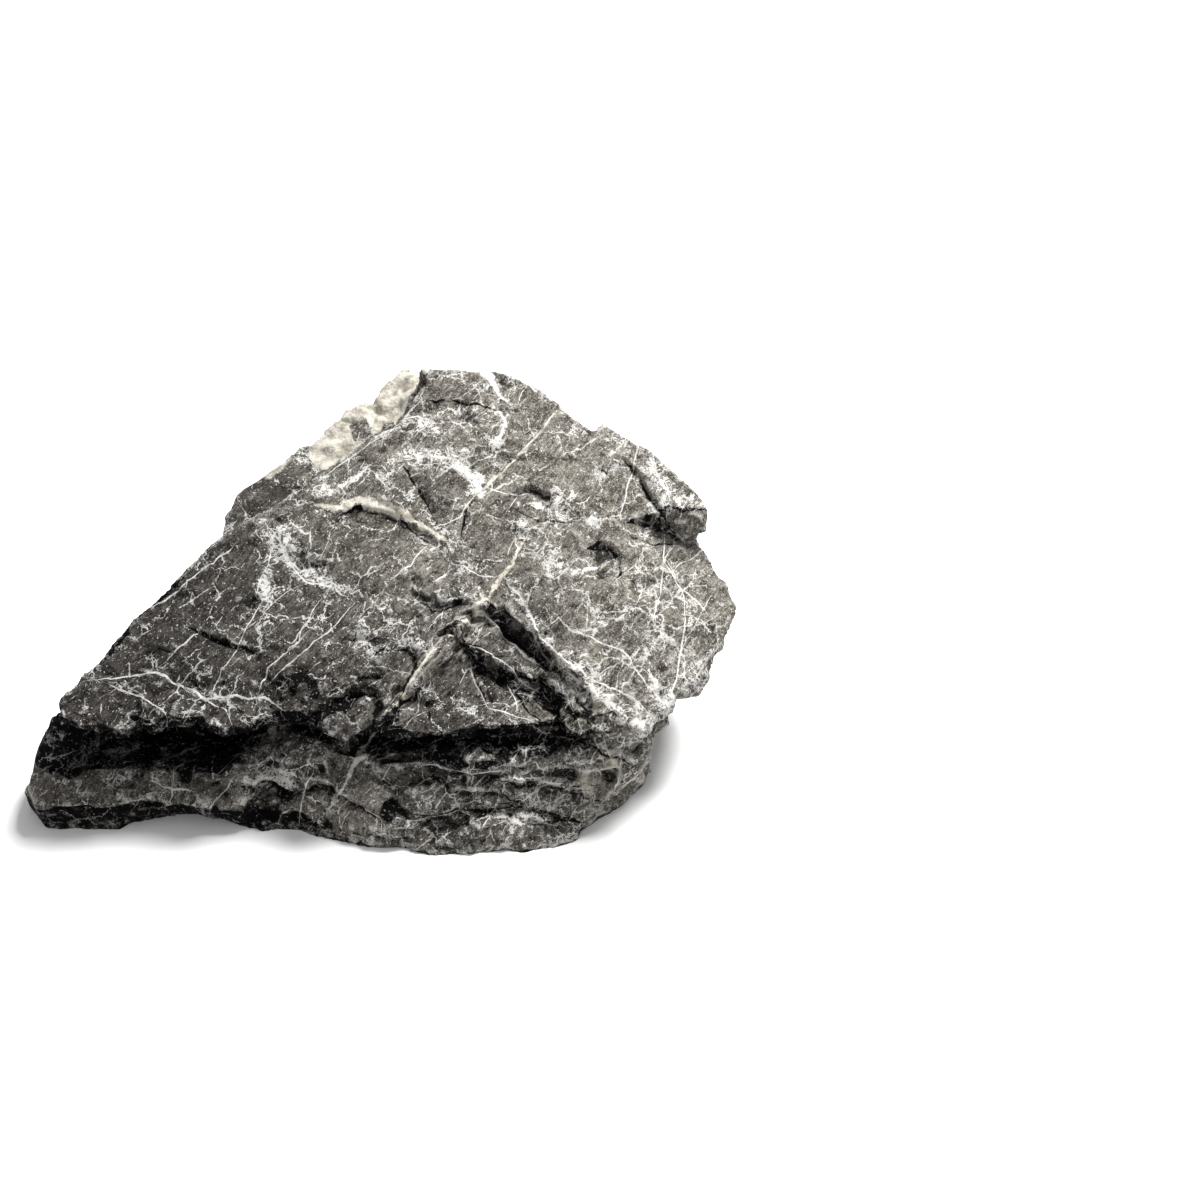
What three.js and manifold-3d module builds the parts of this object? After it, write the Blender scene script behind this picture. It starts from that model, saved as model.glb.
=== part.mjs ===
// A piece of seiryu stone: a grey, bedded limestone used to landscape planted tanks.
// Two beds lie on each other. The upper bed slopes up to the back and overhangs a deep
// recess along the front; the lower bed is the foot that the stone rests on.
// Millimetres, +X to the right, +Y to the back, +Z up, origin under the middle of the stone.
import * as THREE from 'three';
import Module from 'manifold-3d';
import { mergeVertices } from 'three/addons/utils/BufferGeometryUtils.js';
import { ConvexGeometry } from 'three/addons/geometries/ConvexGeometry.js';
import { TessellateModifier } from 'three/addons/modifiers/TessellateModifier.js';
import { ImprovedNoise } from 'three/addons/math/ImprovedNoise.js';

const wasm = await Module();
wasm.setup();

// ---------------------------------------------------------------- driving dimensions
const RIM = { y: -85, z: 45 };     // front rim of the upper bed, and its height
const DIP = 27;                    // slope of the bedding, in degrees, rising to the back
const SEAM_Z = 42;                 // where the upper bed lies on the lower one
const SHELF_DROP = 18;             // how far the back shelf lies below the top face
const RIDGE_RISE = 2;              // how far the ridge block stands above the top face
const BACK_Y = 104;                // furthest back of any outline
const FLANK = { x: 96, slope: -0.42 };      // where the right flank turns down, how steeply
const CLEAR = 60;                  // how far a cutting block reaches past the stone
const BLOCK = 800;                 // side of a cutting block, far larger than the stone
const LONGEST_EDGE = 11;           // of any triangle once the faces are divided
const SWELL = { reach: 34, height: 2.6 };   // broad undulation of the weathered faces
const RIPPLE = { reach: 12, height: 1.2 };  // smaller hollows on top of it
const GROUND_FADE = 10;            // height over which the undulation dies out to the flat

// The recess between the beds: deep on the left, where a thin wall closes its end, shallow
// where the lower bed swells up under the rim, and closing to a seam on the right.
// Each station has the height of the foot's front edge, of the crest behind it, of the
// floor and roof at the back of the recess, and how far back that is.
const CREST_Y = -73;
const RECESS = [
  { x: -150, foot: 12, crest: 19, floor: 19, roof: 46, back: -71 },
  { x: -123, foot: 13, crest: 20, floor: 18, roof: 46, back: -70 },
  { x: -112, foot: 13, crest: 20, floor: 16, roof: 46, back: -52 },
  { x: -66, foot: 13, crest: 20, floor: 15, roof: 45, back: -44 },
  { x: -48, foot: 16, crest: 27, floor: 22, roof: 45, back: -52 },
  { x: -32, foot: 20, crest: 37, floor: 36, roof: 45, back: -62 },
  { x: -20, foot: 22, crest: 33, floor: 32, roof: 44, back: -62 },
  { x: 0, foot: 27, crest: 31, floor: 31, roof: 43, back: -64 },
  { x: 30, foot: 29, crest: 32, floor: 32, roof: 37, back: -66 },
  { x: 76, foot: 30, crest: 33, floor: 34, roof: 38, back: -67 },
  { x: 112, foot: 39, crest: 40, floor: 40, roof: 42, back: -71 },
];

// ---------------------------------------------------------------- outlines seen from above
const LOWER_BED = [
  [-141, -73], [-132, -84], [-112, -86], [-78, -86], [-60, -85], [-32, -86], [-22, -89],
  [-4, -94], [10, -95], [24, -99], [38, -98], [52, -96], [62, -98], [78, -92], [104, -80],
  [110, -45], [122, -10], [124, 26], [104, 62], [62, 94], [8, 96], [-44, 84], [-80, 44],
  [-110, 4], [-128, -34],
];
const UPPER_BED = [
  [-120, -66], [-117, -75], [-104, -79], [-91, -79], [-80, -74], [-68, -74], [-56, -78],
  [-47, -77], [-38, -73], [-26, -72], [-17, -76], [-10, -81], [-2, -76], [8, -77],
  [24, -78], [40, -79], [58, -80], [68, -79], [74, -76], [84, -77], [107, -76], [112, -66],
  [117, -57], [128, -52], [135, -41], [140, -34], [144, -25], [144, -18], [140, -12],
  [135, -5], [131, 0], [128, 5], [124, 11], [119, 22], [112, 60], [60, 104], [-20, 104],
  [17, 60], [5, 43],
  [-12, 30], [-34, 14], [-49, 3], [-63, -6], [-76, -17], [-90, -32], [-107, -53],
];
const BACK_SHELF = [
  [-66, -8], [-67, 18], [-63, 28], [-55, 35], [-46, 40], [-39, 47], [-30, 49], [-27, 55],
  [-21, 61], [-9, 65], [-6, 70], [-1, 76], [4, 80], [12, 79], [30, 74], [40, 40], [-20, -10],
];
const RIDGE_BLOCK = [
  [82, 30], [85, 36], [90, 42], [97, 36], [109, 28], [126, 15], [134, 5], [131, 0],
  [113, 3], [96, 1], [86, 14],
];
const RIDGE_SLIVER = [
  [100, 24], [104, 31], [126, 15], [134, 5], [131, 1], [113, 3], [107, 11],
];

// ---------------------------------------------------------------- solids
function solid(geometry) {
  const bare = geometry.clone();
  bare.deleteAttribute('normal');
  bare.deleteAttribute('uv');
  const welded = mergeVertices(bare, 1e-4);
  return new wasm.Manifold(new wasm.Mesh({
    numProp: 3,
    vertProperties: new Float32Array(welded.attributes.position.array),
    triVerts: new Uint32Array(welded.index.array),
  }));
}

function prism(outline, bottom, top) {
  const plan = new THREE.Shape(outline.map(([x, y]) => new THREE.Vector2(x, y)));
  const geometry = new THREE.ExtrudeGeometry(plan, { depth: top - bottom, bevelEnabled: false });
  return solid(geometry.translate(0, 0, bottom));
}

// Everything on the outer side of a plane, as one large block.
function beyond(point, normal) {
  const turn = new THREE.Quaternion().setFromUnitVectors(
    new THREE.Vector3(0, 0, 1), new THREE.Vector3(...normal).normalize());
  const block = new THREE.BoxGeometry(BLOCK, BLOCK, BLOCK).translate(0, 0, BLOCK / 2);
  return solid(block.applyQuaternion(turn).translate(...point));
}

// A flake with plane faces, given by its corners.
function flake(corners) {
  return solid(new ConvexGeometry(corners.map((corner) => new THREE.Vector3(...corner))));
}

const dipSlope = Math.tan(THREE.MathUtils.degToRad(DIP));
const faceHeight = (y) => RIM.z + dipSlope * (y - RIM.y);
const topZ = faceHeight(BACK_Y);
const aboveFace = (rise, tiltX = 0, x = 0) => beyond(
  [x, RIM.y, RIM.z + rise], [-tiltX, -dipSlope, 1]);

// ---------------------------------------------------------------- the beds
function upperBed() {
  return prism(UPPER_BED, SEAM_Z, topZ).subtract(aboveFace(0));
}

function lowerBed() {
  const foot = prism(LOWER_BED, 0, SEAM_Z + 2);
  const rise = prism(LOWER_BED, 0, topZ).subtract(aboveFace(-SHELF_DROP - 1));
  return foot.add(rise)
    // the front leans back in two faces, and is bevelled at its right end
    .subtract(beyond([20, -99, 0], [-0.02, -0.82, 0.57]))
    .subtract(beyond([60, -97, 0], [0.1, -0.82, 0.57]))
    .subtract(beyond([78, -92, 0], [0.73, -0.64, -0.24]))
    // the left back side falls away from the back shelf
    .subtract(beyond([-58, 34, 84], [-0.56, 0.66, 0.5]))
    // left back bevel under the long edge of the top face
    .subtract(beyond([-107, -55, 60], [-0.7, 0.5, 0.51]))
    // left end
    .subtract(beyond([-141, -74, 8], [-0.9, -0.12, 0.42]));
}

// The block behind the right flank, split by a fissure; its right end is undercut.
function ridge() {
  const block = prism(RIDGE_BLOCK, SEAM_Z, topZ).subtract(aboveFace(0));
  const sliver = prism(RIDGE_SLIVER, SEAM_Z, topZ).subtract(aboveFace(RIDGE_RISE));
  return block.add(sliver).subtract(beyond([134, 4, 88], [0.85, -0.2, -0.5]));
}

function backShelf() {
  return prism(BACK_SHELF, SEAM_Z, topZ).subtract(aboveFace(-SHELF_DROP));
}

function recess() {
  const front = RIM.y - CLEAR;
  const mouth = ({ x, foot, crest, roof }) => {
    const fall = (crest - foot) / (CREST_Y - RIM.y);
    return [[x, front, foot - fall * CLEAR], [x, CREST_Y, crest], [x, CREST_Y, roof],
      [x, front, roof]];
  };
  const pocket = ({ x, crest, floor, roof, back }) => [
    [x, CREST_Y, crest], [x, back, floor], [x, back, roof], [x, CREST_Y, roof]];
  const pieces = [];
  for (let i = 0; i + 1 < RECESS.length; i += 1) {
    for (const section of [mouth, pocket]) {
      pieces.push(flake([...section(RECESS[i]), ...section(RECESS[i + 1])]));
    }
  }
  return pieces.reduce((all, piece) => all.add(piece));
}

// The three-cornered scoop broken out of the front of the top face, in two steps.
function scoop() {
  const upperStep = flake([
    [44, -28, 100], [62, -38, 100], [90, -66, 90], [78, -100, 90], [6, -100, 90], [6, -74, 90],
    [43, -30, 65], [60, -43, 59], [73, -54, 54], [86, -66, 50],
    [38, -38, 69], [21, -54, 61], [7, -74, 51], [4, -100, 34], [80, -100, 31],
  ]);
  const lowerStep = flake([
    [32, -37, 90], [48, -46, 90], [66, -55, 90], [80, -68, 90], [78, -100, 90], [10, -100, 90],
    [34, -41, 57], [46, -49, 52], [66, -58, 48], [75, -68, 43],
    [19, -56, 57], [8, -73, 49], [10, -100, 34], [74, -100, 27],
  ]);
  const pocket = flake([
    [70, -60, 70], [84, -65, 70], [88, -72, 70], [74, -74, 70],
    [75, -63, 46], [82, -67, 44], [85, -72, 45], [76, -73, 43],
  ]);
  const hollow = flake([
    [21, -39, 80], [32, -38, 80], [33, -46, 80], [24, -50, 80],
    [26, -43, 61], [31, -42, 62],
  ]);
  return upperStep.add(lowerStep).add(pocket).add(hollow);
}

// Flakes lost from the edges of both beds.
function chips() {
  const lostFlakes = [
    // the arch under the left foot
    [[-108, -92, -2], [-98, -80, -2], [-77, -75, -2], [-67, -76, -2], [-30, -94, -2],
      [-106, -92, 12], [-84, -89, 13], [-44, -95, 12]],
    // the ledge across the front of the lower bed
    [[36, -86, 25], [96, -98, 26], [64, -75, 25], [96, -70, 24], [56, -92, 8], [94, -87, 8],
      [56, -110, 8], [94, -110, 8]],
    // the steep front of the upper bed, right of the scoop
    [[80, -70, 60], [114, -72, 60], [80, -72, 52], [112, -75, 50], [80, -78, 43],
      [112, -80, 41], [80, -90, 43], [112, -90, 41], [80, -90, 60], [114, -90, 60]],
    // behind: the seam between the beds, and the corners below it
    [[-40, 110, 52], [-30, 74, 46], [50, 80, 44], [104, 62, 40], [110, 110, 46],
      [-40, 110, 36], [-20, 84, 38], [50, 86, 36], [100, 66, 36], [110, 110, 34]],
    [[-100, 60, -4], [-20, 110, -4], [-100, 60, 30], [-20, 110, 20], [-84, 30, -4],
      [-30, 84, -4]],
    [[60, 110, -4], [140, 50, -4], [60, 110, 26], [140, 50, 34], [74, 82, -4],
      [112, 46, -4]],
  ];
  return lostFlakes.map(flake).reduce((all, piece) => all.add(piece));
}

// ---------------------------------------------------------------- the stone
const stone = lowerBed().add(upperBed())
  // main back face, and the broken face to the right of the apex
  .subtract(beyond([36, 64, 120], [0.05, 0.97, 0.24]))
  .subtract(beyond([70, 48, 113], [0.62, 0.7, 0.34]))
  // the right flank dips away from the top face, and its side overhangs
  .subtract(aboveFace(0, FLANK.slope, FLANK.x))
  .subtract(beyond([144, -22, 58], [0.86, -0.1, -0.5]))
  .add(ridge())
  .add(backShelf())
  .subtract(recess())
  .subtract(scoop())
  .subtract(chips());

// ---------------------------------------------------------------- an even surface
const MOST_PASSES = 40;            // over all the shared sides
const FLAT = 0.9999;               // cosine between the normals of faces in one plane
const SLIVER = 1e-3;               // a triangle with less than half this area has no shape
const LEAST_GAIN = 0.01;           // in radians, over an even pair of triangles

// Swaps the shared side of two triangles in one plane wherever that makes them rounder.
function evenOut(geometry) {
  const position = geometry.attributes.position;
  const points = Array.from(
    { length: position.count }, (_, i) => new THREE.Vector3().fromBufferAttribute(position, i));
  const corners = geometry.index.array;
  const cross = (a, b, c) => points[b].clone().sub(points[a])
    .cross(points[c].clone().sub(points[a]));
  const angleAt = (a, b, c) => points[b].clone().sub(points[a])
    .angleTo(points[c].clone().sub(points[a]));
  const worthSwapping = (a, b, c, d, owners) => {
    const joined = owners.has(`${c},${d}`) || owners.has(`${d},${c}`);
    const gain = angleAt(c, a, b) + angleAt(d, a, b) - Math.PI;
    const before = [cross(a, b, c), cross(b, a, d)].filter((n) => n.length() > SLIVER);
    const after = [cross(a, d, c), cross(d, b, c)];
    const shaped = after.every((n) => n.length() > SLIVER);
    const normals = [...before, ...after].map((n) => n.normalize());
    const level = normals.every((n) => n.dot(normals[0]) > FLAT);
    return !joined && gain > LEAST_GAIN && shaped && level;
  };

  let swaps = 1;
  for (let pass = 0; pass < MOST_PASSES && swaps > 0; pass += 1) {
    swaps = 0;
    const owners = new Map();
    for (let t = 0; t < corners.length; t += 3) {
      for (let side = 0; side < 3; side += 1) {
        owners.set(`${corners[t + side]},${corners[t + (side + 1) % 3]}`, [t, side]);
      }
    }
    const moved = new Set();
    for (let t = 0; t < corners.length; t += 3) {
      for (let side = 0; side < 3; side += 1) {
        const a = corners[t + side];
        const b = corners[t + (side + 1) % 3];
        const c = corners[t + (side + 2) % 3];
        const [other, otherSide] = owners.get(`${b},${a}`) ?? [];
        const taken = moved.has(t) || moved.has(other);
        const d = corners[other + (otherSide + 2) % 3];
        if (a < b && other !== undefined && !taken && worthSwapping(a, b, c, d, owners)) {
          corners.set([a, d, c], t);
          corners.set([d, b, c], other);
          moved.add(t).add(other);
          swaps += 1;
        }
      }
    }
  }
  return geometry;
}

function divide(geometry, longestEdge) {
  const mostRounds = 6;
  const divider = new TessellateModifier(longestEdge, mostRounds);
  const parts = divider.modify(geometry.toNonIndexed());
  return evenOut(mergeVertices(parts, 1e-4));
}

// Moves every point a little way along a smooth field, which fades out at the ground.
// Each axis reads the field in a place of its own, so that the three don't move alike.
const NOISE_START = { x: 11.3, y: 27.1, z: 43.7 };
function undulate(geometry) {
  const noise = new ImprovedNoise();
  const position = geometry.attributes.position;
  for (let i = 0; i < position.count; i += 1) {
    const at = new THREE.Vector3().fromBufferAttribute(position, i);
    const push = new THREE.Vector3();
    for (const { reach, height } of [SWELL, RIPPLE]) {
      const { x, y, z } = at.clone().divideScalar(reach);
      push.x += height * noise.noise(x + NOISE_START.x, y, z);
      push.y += height * noise.noise(x, y + NOISE_START.y, z);
      push.z += height * noise.noise(x, y, z + NOISE_START.z);
    }
    at.addScaledVector(push, THREE.MathUtils.smoothstep(at.z, 0, GROUND_FADE));
    position.setXYZ(i, at.x, at.y, at.z);
  }
  return geometry;
}

function surface(manifold) {
  const { vertProperties, triVerts } = manifold.getMesh();
  let geometry = new THREE.BufferGeometry();
  geometry.setAttribute('position', new THREE.BufferAttribute(vertProperties, 3));
  geometry.setIndex(new THREE.BufferAttribute(triVerts, 1));
  geometry = evenOut(mergeVertices(geometry, 1e-3));
  for (const length of [4 * LONGEST_EDGE, 2 * LONGEST_EDGE, LONGEST_EDGE]) {
    geometry = divide(geometry, length);
  }
  return undulate(geometry);
}

const skin = surface(stone);
skin.computeBoundingBox();
const middle = skin.boundingBox.getCenter(new THREE.Vector3());
skin.translate(-middle.x, -middle.y, -skin.boundingBox.min.z);

const mesh = new THREE.Mesh(skin, new THREE.MeshStandardMaterial({
  color: 0x6f6c68, roughness: 0.85, metalness: 0,
}));
mesh.name = 'seiryu_stone';

const group = new THREE.Group();
group.add(mesh);
export default group;
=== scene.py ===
# A piece of seiryu stone, the grey bedded limestone that planted tanks are landscaped with.
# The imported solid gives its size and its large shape. This script breaks its skin into facets,
# ledges and cracks, grows the calcite in it, and stands it on a pale floor.
import itertools
import math

import bpy
import numpy as np
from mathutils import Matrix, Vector
from mathutils.bvhtree import BVHTree


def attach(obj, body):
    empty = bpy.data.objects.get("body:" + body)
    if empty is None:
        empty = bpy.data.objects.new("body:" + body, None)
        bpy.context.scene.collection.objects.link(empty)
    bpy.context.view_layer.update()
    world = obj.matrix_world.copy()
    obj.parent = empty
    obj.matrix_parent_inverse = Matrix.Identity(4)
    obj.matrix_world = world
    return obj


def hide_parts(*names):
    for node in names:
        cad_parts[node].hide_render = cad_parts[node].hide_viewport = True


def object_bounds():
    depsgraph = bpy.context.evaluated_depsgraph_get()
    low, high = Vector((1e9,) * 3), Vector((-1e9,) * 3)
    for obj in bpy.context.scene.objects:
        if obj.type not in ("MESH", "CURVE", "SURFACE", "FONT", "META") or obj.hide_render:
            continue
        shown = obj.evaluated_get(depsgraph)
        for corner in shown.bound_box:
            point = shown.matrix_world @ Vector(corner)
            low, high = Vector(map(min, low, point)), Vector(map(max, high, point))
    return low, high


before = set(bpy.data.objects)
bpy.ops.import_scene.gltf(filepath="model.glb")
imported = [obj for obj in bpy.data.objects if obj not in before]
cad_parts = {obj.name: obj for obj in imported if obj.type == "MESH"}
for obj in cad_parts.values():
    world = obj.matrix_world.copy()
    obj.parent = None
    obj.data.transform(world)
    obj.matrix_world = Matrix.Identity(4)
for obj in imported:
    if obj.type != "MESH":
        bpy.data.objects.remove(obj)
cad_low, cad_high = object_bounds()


# ------------------------ the block
# One natural block of limestone, split from the quarry face along its bedding. Its skin is
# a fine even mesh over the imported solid, close enough in grain to be chipped and cracked.
NODE = "seiryu_stone"
MM = 0.001
GRAIN = 0.95     # mm, between neighbouring points of the skin


def with_modifier(obj, kind, **settings):
    """Gives the object the mesh that one modifier makes of it, and leaves no modifier on it."""
    modifier = obj.modifiers.new(kind.lower(), kind)
    for name, value in settings.items():
        setattr(modifier, name, value)
    graph = bpy.context.evaluated_depsgraph_get()
    obj.data = bpy.data.meshes.new_from_object(obj.evaluated_get(graph))
    obj.modifiers.clear()


def places_of(mesh):
    """Every point of the mesh, in millimetres."""
    flat = np.empty(3 * len(mesh.vertices))
    mesh.vertices.foreach_get("co", flat)
    return flat.reshape(-1, 3) / MM


def directions_of(mesh):
    """Which way the skin faces at every point."""
    flat = np.empty(3 * len(mesh.vertices))
    mesh.vertices.foreach_get("normal", flat)
    return flat.reshape(-1, 3)


def move_to(mesh, places):
    mesh.vertices.foreach_set("co", (places * MM).ravel())
    mesh.update()


def eased(mesh, values, rounds):
    """Averages what each point holds with what its neighbours hold, some rounds over."""
    ends = np.empty(2 * len(mesh.edges), int)
    mesh.edges.foreach_get("vertices", ends)
    here, there = ends.reshape(-1, 2).T
    count = len(mesh.vertices)
    sides = np.bincount(here, minlength=count) + np.bincount(there, minlength=count) + 1.0
    values = values.reshape(count, -1)
    for _ in range(rounds):
        values = np.stack([
            (v + np.bincount(here, v[there], count) + np.bincount(there, v[here], count)) / sides
            for v in values.T], 1)
    return values.squeeze()


stone = bpy.data.objects.new("stone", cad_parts[NODE].data.copy())
bpy.context.scene.collection.objects.link(stone)
stone.data.materials.clear()
with_modifier(stone, "REMESH", mode="VOXEL", voxel_size=GRAIN * MM)


# ------------------------ how it broke
# The rock parts along its bedding, which rises to the back, and breaks across it in hackly
# chips. Every field below gives the same number at the same place on each run.
DIP = math.radians(27)
ACROSS_BEDS = np.array([0, -math.sin(DIP), math.cos(DIP)])
RIM = np.array([0, -83, 45])            # a point on the front rim of the top face, in mm


def dice(cells, seed):
    """One number from 0 to 1 for each whole-numbered cell."""
    x, y, z = cells.astype(np.int64).astype(np.uint32).T
    mixed = x * np.uint32(73856093) ^ y * np.uint32(19349663) ^ z * np.uint32(83492791)
    mixed = mixed + np.uint32(seed * 40503 + 1013)
    for factor in (0x7FEB352D, 0x846CA68B):
        mixed = (mixed ^ mixed >> np.uint32(15)) * np.uint32(factor)
    return (mixed ^ mixed >> np.uint32(16)) / 2.0 ** 32


def swell(places, reach, seed):
    """A smooth field from -1 to 1, whose hollows are about `reach` across."""
    at = places / reach
    low = np.floor(at)
    ease = at - low
    ease = ease * ease * (3 - 2 * ease)
    total = np.zeros(len(at))
    for corner in itertools.product((0, 1), repeat=3):
        share = np.where(corner, ease, 1 - ease).prod(1)
        total += share * dice(low + corner, seed)
    return 2 * total - 1


def chips(places, reach, seed):
    """Broken facets: a small plane, tilted its own way, around each of many centres.
    Gives its height from about -1 to 1, and how far a point lies from the centre."""
    at = places / reach
    home = np.floor(at - 0.5)
    nearest = np.full(len(at), np.inf)
    height = np.zeros(len(at))
    for step in itertools.product((0, 1), repeat=3):
        cell = home + step
        away = at - cell - np.stack([0.15 + 0.7 * dice(cell, seed + k) for k in range(3)], 1)
        tilt = np.stack([dice(cell, seed + 3 + k) - 0.5 for k in range(3)], 1)
        far = np.sqrt((away ** 2).sum(1))
        plane = 2.2 * (away * tilt).sum(1) + 0.9 * (dice(cell, seed + 6) - 0.5)
        height = np.where(far < nearest, plane, height)
        nearest = np.minimum(far, nearest)
    return height, nearest


# Turns the places between rounds of crags, so that one round doesn't line up with the next.
TURN = np.array([[0.36, 0.48, -0.8], [-0.8, 0.6, 0], [0.48, 0.64, 0.6]])


def crags(places, reach, rounds, seed):
    """Sharp crests between rounded hollows, each round half the size of the last."""
    total = np.zeros(len(places))
    for k in range(rounds):
        crest = 1 - np.minimum(1, 2.4 * np.abs(swell(places, reach / 2 ** k, seed + k)))
        total += (crest - 0.45) / 2 ** k
        places = places @ TURN
    return total


def rise(low, high, value):
    """0 below `low`, 1 above `high`, and a soft slope between."""
    t = np.clip((value - low) / (high - low), 0, 1)
    return t * t * (3 - 2 * t)


def ledges(places, thickness, seed):
    """Beds that stand out by different amounts where the rock is broken across them."""
    layer = (places @ ACROSS_BEDS) / thickness + 0.5 * swell(places, 22, seed)
    lower = np.floor(layer)
    across = np.floor(places[:, 0] / 26 + 0.6 * swell(places, 15, seed + 1))
    out = [dice(np.stack([lower + k, across, 0 * across], 1), seed + 2) for k in (0, 1)]
    return 2 * (out[0] + (out[1] - out[0]) * rise(0.78, 1.0, layer - lower)) - 1


def along_line(flat, line):
    """How far each point is from a broken line, on which side, and how far along it (0 to 1)."""
    line = np.array(line, float)
    lengths = np.linalg.norm(np.diff(line, axis=0), axis=1)
    total, before = lengths.sum(), 0.0
    best = np.full(len(flat), np.inf)
    side, share = np.ones(len(flat)), np.zeros(len(flat))
    for start, end, length in zip(line[:-1], line[1:], lengths):
        run = (end - start) / length
        away = flat - start
        t = np.clip(away @ run, 0, length)
        gap = np.linalg.norm(away - t[:, None] * run, axis=1)
        closer = gap < best
        best = np.where(closer, gap, best)
        side = np.where(closer, np.sign(away[:, 1] * run[0] - away[:, 0] * run[1] + 1e-9), side)
        share = np.where(closer, (before + t) / total, share)
        before += length
    return best, side, share


def gap_to(flat, line):
    return along_line(flat, line)[0]


def sway(places, reach, seed, ways=3):
    """A smooth field with a direction, which bends other fields: one swell each way."""
    return np.stack([swell(places, reach, seed + k) for k in range(ways)], 1)


rest = places_of(stone.data)
x, y, z = rest.T
facing = eased(stone.data, directions_of(stone.data), 12)
blunt = np.linalg.norm(facing, axis=1)      # 1 on an even face, less along a sharp edge
facing /= blunt[:, None]
over = (rest - RIM) @ ACROSS_BEDS           # height over the plane of the top face
level = facing @ ACROSS_BEDS                # 1 on a bedding face, 0 on a face across the beds

# Faces across the beds are the rough ones: the front of the lower bed and the sides.
is_front = rise(-12, -17, over) * rise(-40, -52, y)
is_broken = (1 - rise(0.6, 0.9, np.abs(level))) * (1 - 0.6 * rise(-12, -3, over))
is_broken = np.maximum(is_front, is_broken)
is_side = is_broken * (1 - is_front)

# Facets of four sizes: how they are squashed, size in mm, seed, and their height everywhere,
# and what the sides and the front add to it.
FACETS = [
    ([0.8, 1, 1.4], 30, 5, 0, 3.6, 0),
    ([0.8, 1, 1.5], 15, 10, 1.1, 2.2, 1.3),
    ([0.8, 1, 1.5], 6.8, 20, 0.42, 0.4, 0.6),
    ([0.9, 1, 1.4], 3.4, 30, 0.24, 0.16, 0.24),
]
curved = rest + 3.0 * sway(rest, 12, 90) + 0.8 * sway(rest, 4, 94)
relief = np.zeros(len(rest))
for squash, size, seed, plain, side_adds, front_adds in FACETS:
    height = plain + side_adds * is_side + front_adds * is_front
    relief += chips(curved * squash, size, seed)[0] * height
relief += crags(rest * [0.7, 1, 1.3], 24, 4, 50) * (0.4 + 0.1 * is_side + 0.35 * is_front)
relief += is_broken * (1.3 - 0.4 * is_side) * ledges(rest, 6.3, 40)
relief += is_broken * (0.7 - 0.2 * is_side) * ledges(rest, 2.7, 44)
relief += 0.5 * swell(rest, 26, 60) - 1.0 * is_broken

# Sharp edges, and the worn left end of the foot, keep more of their first shape.
relief *= 0.25 + 0.75 * rise(0.74, 0.97, blunt)
worn_foot = is_front * rise(-56, -72, x) * rise(26, 20, z)
left_end = rise(-112, -124, x) * rise(56, 48, z)
relief *= 1 - 0.6 * np.maximum(worn_foot, left_end)


# ------------------------ the top face
# A bedding plane, weathered and knocked. Small steps are left where thin beds came away,
# open joints run across it, and a blow left a round dent near the right flank.
# Places are in millimetres, seen from above.
plan = rest[:, :2]
on_top = rise(0.45, 0.8, level) * rise(-5, -2, over)

# How far the front side lies below the back side, how far out the drop runs, and the line.
BROW = [(13, -24), (22, -28), (31, -30), (40, -27)]
STEPS = [
    (1.8, 13, [(-27, 7), (-19, 6), (-11, 9), (-1, 7), (10, 2), (18, -3), (25, -9)]),
    (1.4, 10, [(-76, -40), (-68, -41), (-58, -46), (-47, -49), (-38, -47)]),
    (0.8, 7, [(-78, -56), (-70, -59), (-63, -62)]),
    (1.3, 9, [(12, 51), (25, 52), (40, 50), (52, 49)]),
    (2.6, 8, BROW),
    (1.2, 8, [(38, 31), (46, 34), (49, 42), (44, 50)]),
    (1.0, 9, [(52, 10), (64, 4), (78, 4)]),
    (0.7, 9, [(-36, 1), (-16, -8), (-2, -8), (11, -13)]),
    (0.7, 8, [(-52, -16), (-38, -22), (-24, -27), (-12, -27)]),
    (0.7, 8, [(58, -12), (66, -24), (70, -34)]),
    (0.8, 8, [(-96, -50), (-86, -46), (-78, -48)]),
    (1.0, 7, [(-20, -62), (-8, -66), (2, -60), (10, -52)]),
]


def stepped(flat, steps):
    """How much is lost below each step, which fades away from its line."""
    lost = 0
    ragged = flat + 0.9 * sway(rest, 4, 70, 2)
    for drop, run, line in steps:
        gap, side, share = along_line(ragged, line)
        ends = rise(0, 0.2, share) * rise(0, 0.2, 1 - share)
        lost += ends * drop * rise(0.4, -0.4, gap * side) * np.exp(-gap / run)
    return lost


relief -= on_top * stepped(plan, STEPS)

# Width and depth of open joints and creases, and the line. Those with a name are dark inside.
PEAK_JOINT = [(86, 24), (90, 21)]
RIM_CREASE = [(-4, -50), (1, -48), (6, -47), (10, -48), (13, -50)]
RIM_CRACK = [(13, -50), (15, -54), (13, -58), (10, -62)]
RIM_STEP = [(-10, -57), (-3, -57), (2, -58)]
JOINTS = [
    (1.3, 1.8, [(4, 27), (9, 21), (13, 15), (19, 7)]),
    (1.2, 1.4, [(35, 12), (32, 5), (30, -3)]),
    (1.0, 1.8, [(-71, -41), (-58, -46), (-48, -48)]),
    (0.9, 1.4, [(-74, -58), (-66, -61)]),
    (1.3, 2.0, [(97, 26), (102, 20), (106, 12), (110, 6)]),
    (1.0, 1.4, [(27, -40), (31, -43)]),
    (0.9, 0.8, PEAK_JOINT),
    (0.8, 1.0, [(62, 31), (66, 27)]),
    (1.4, 1.6, RIM_CREASE),
    (2.0, 2.0, RIM_CRACK),
    (1.2, 1.2, RIM_STEP),
]
depth_varies = 0.7 + 0.3 * swell(rest, 3, 72)
for width, depth, line in JOINTS:
    relief -= on_top * depth * np.clip(1 - gap_to(plan, line) / width, 0, 1) * depth_varies


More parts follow.
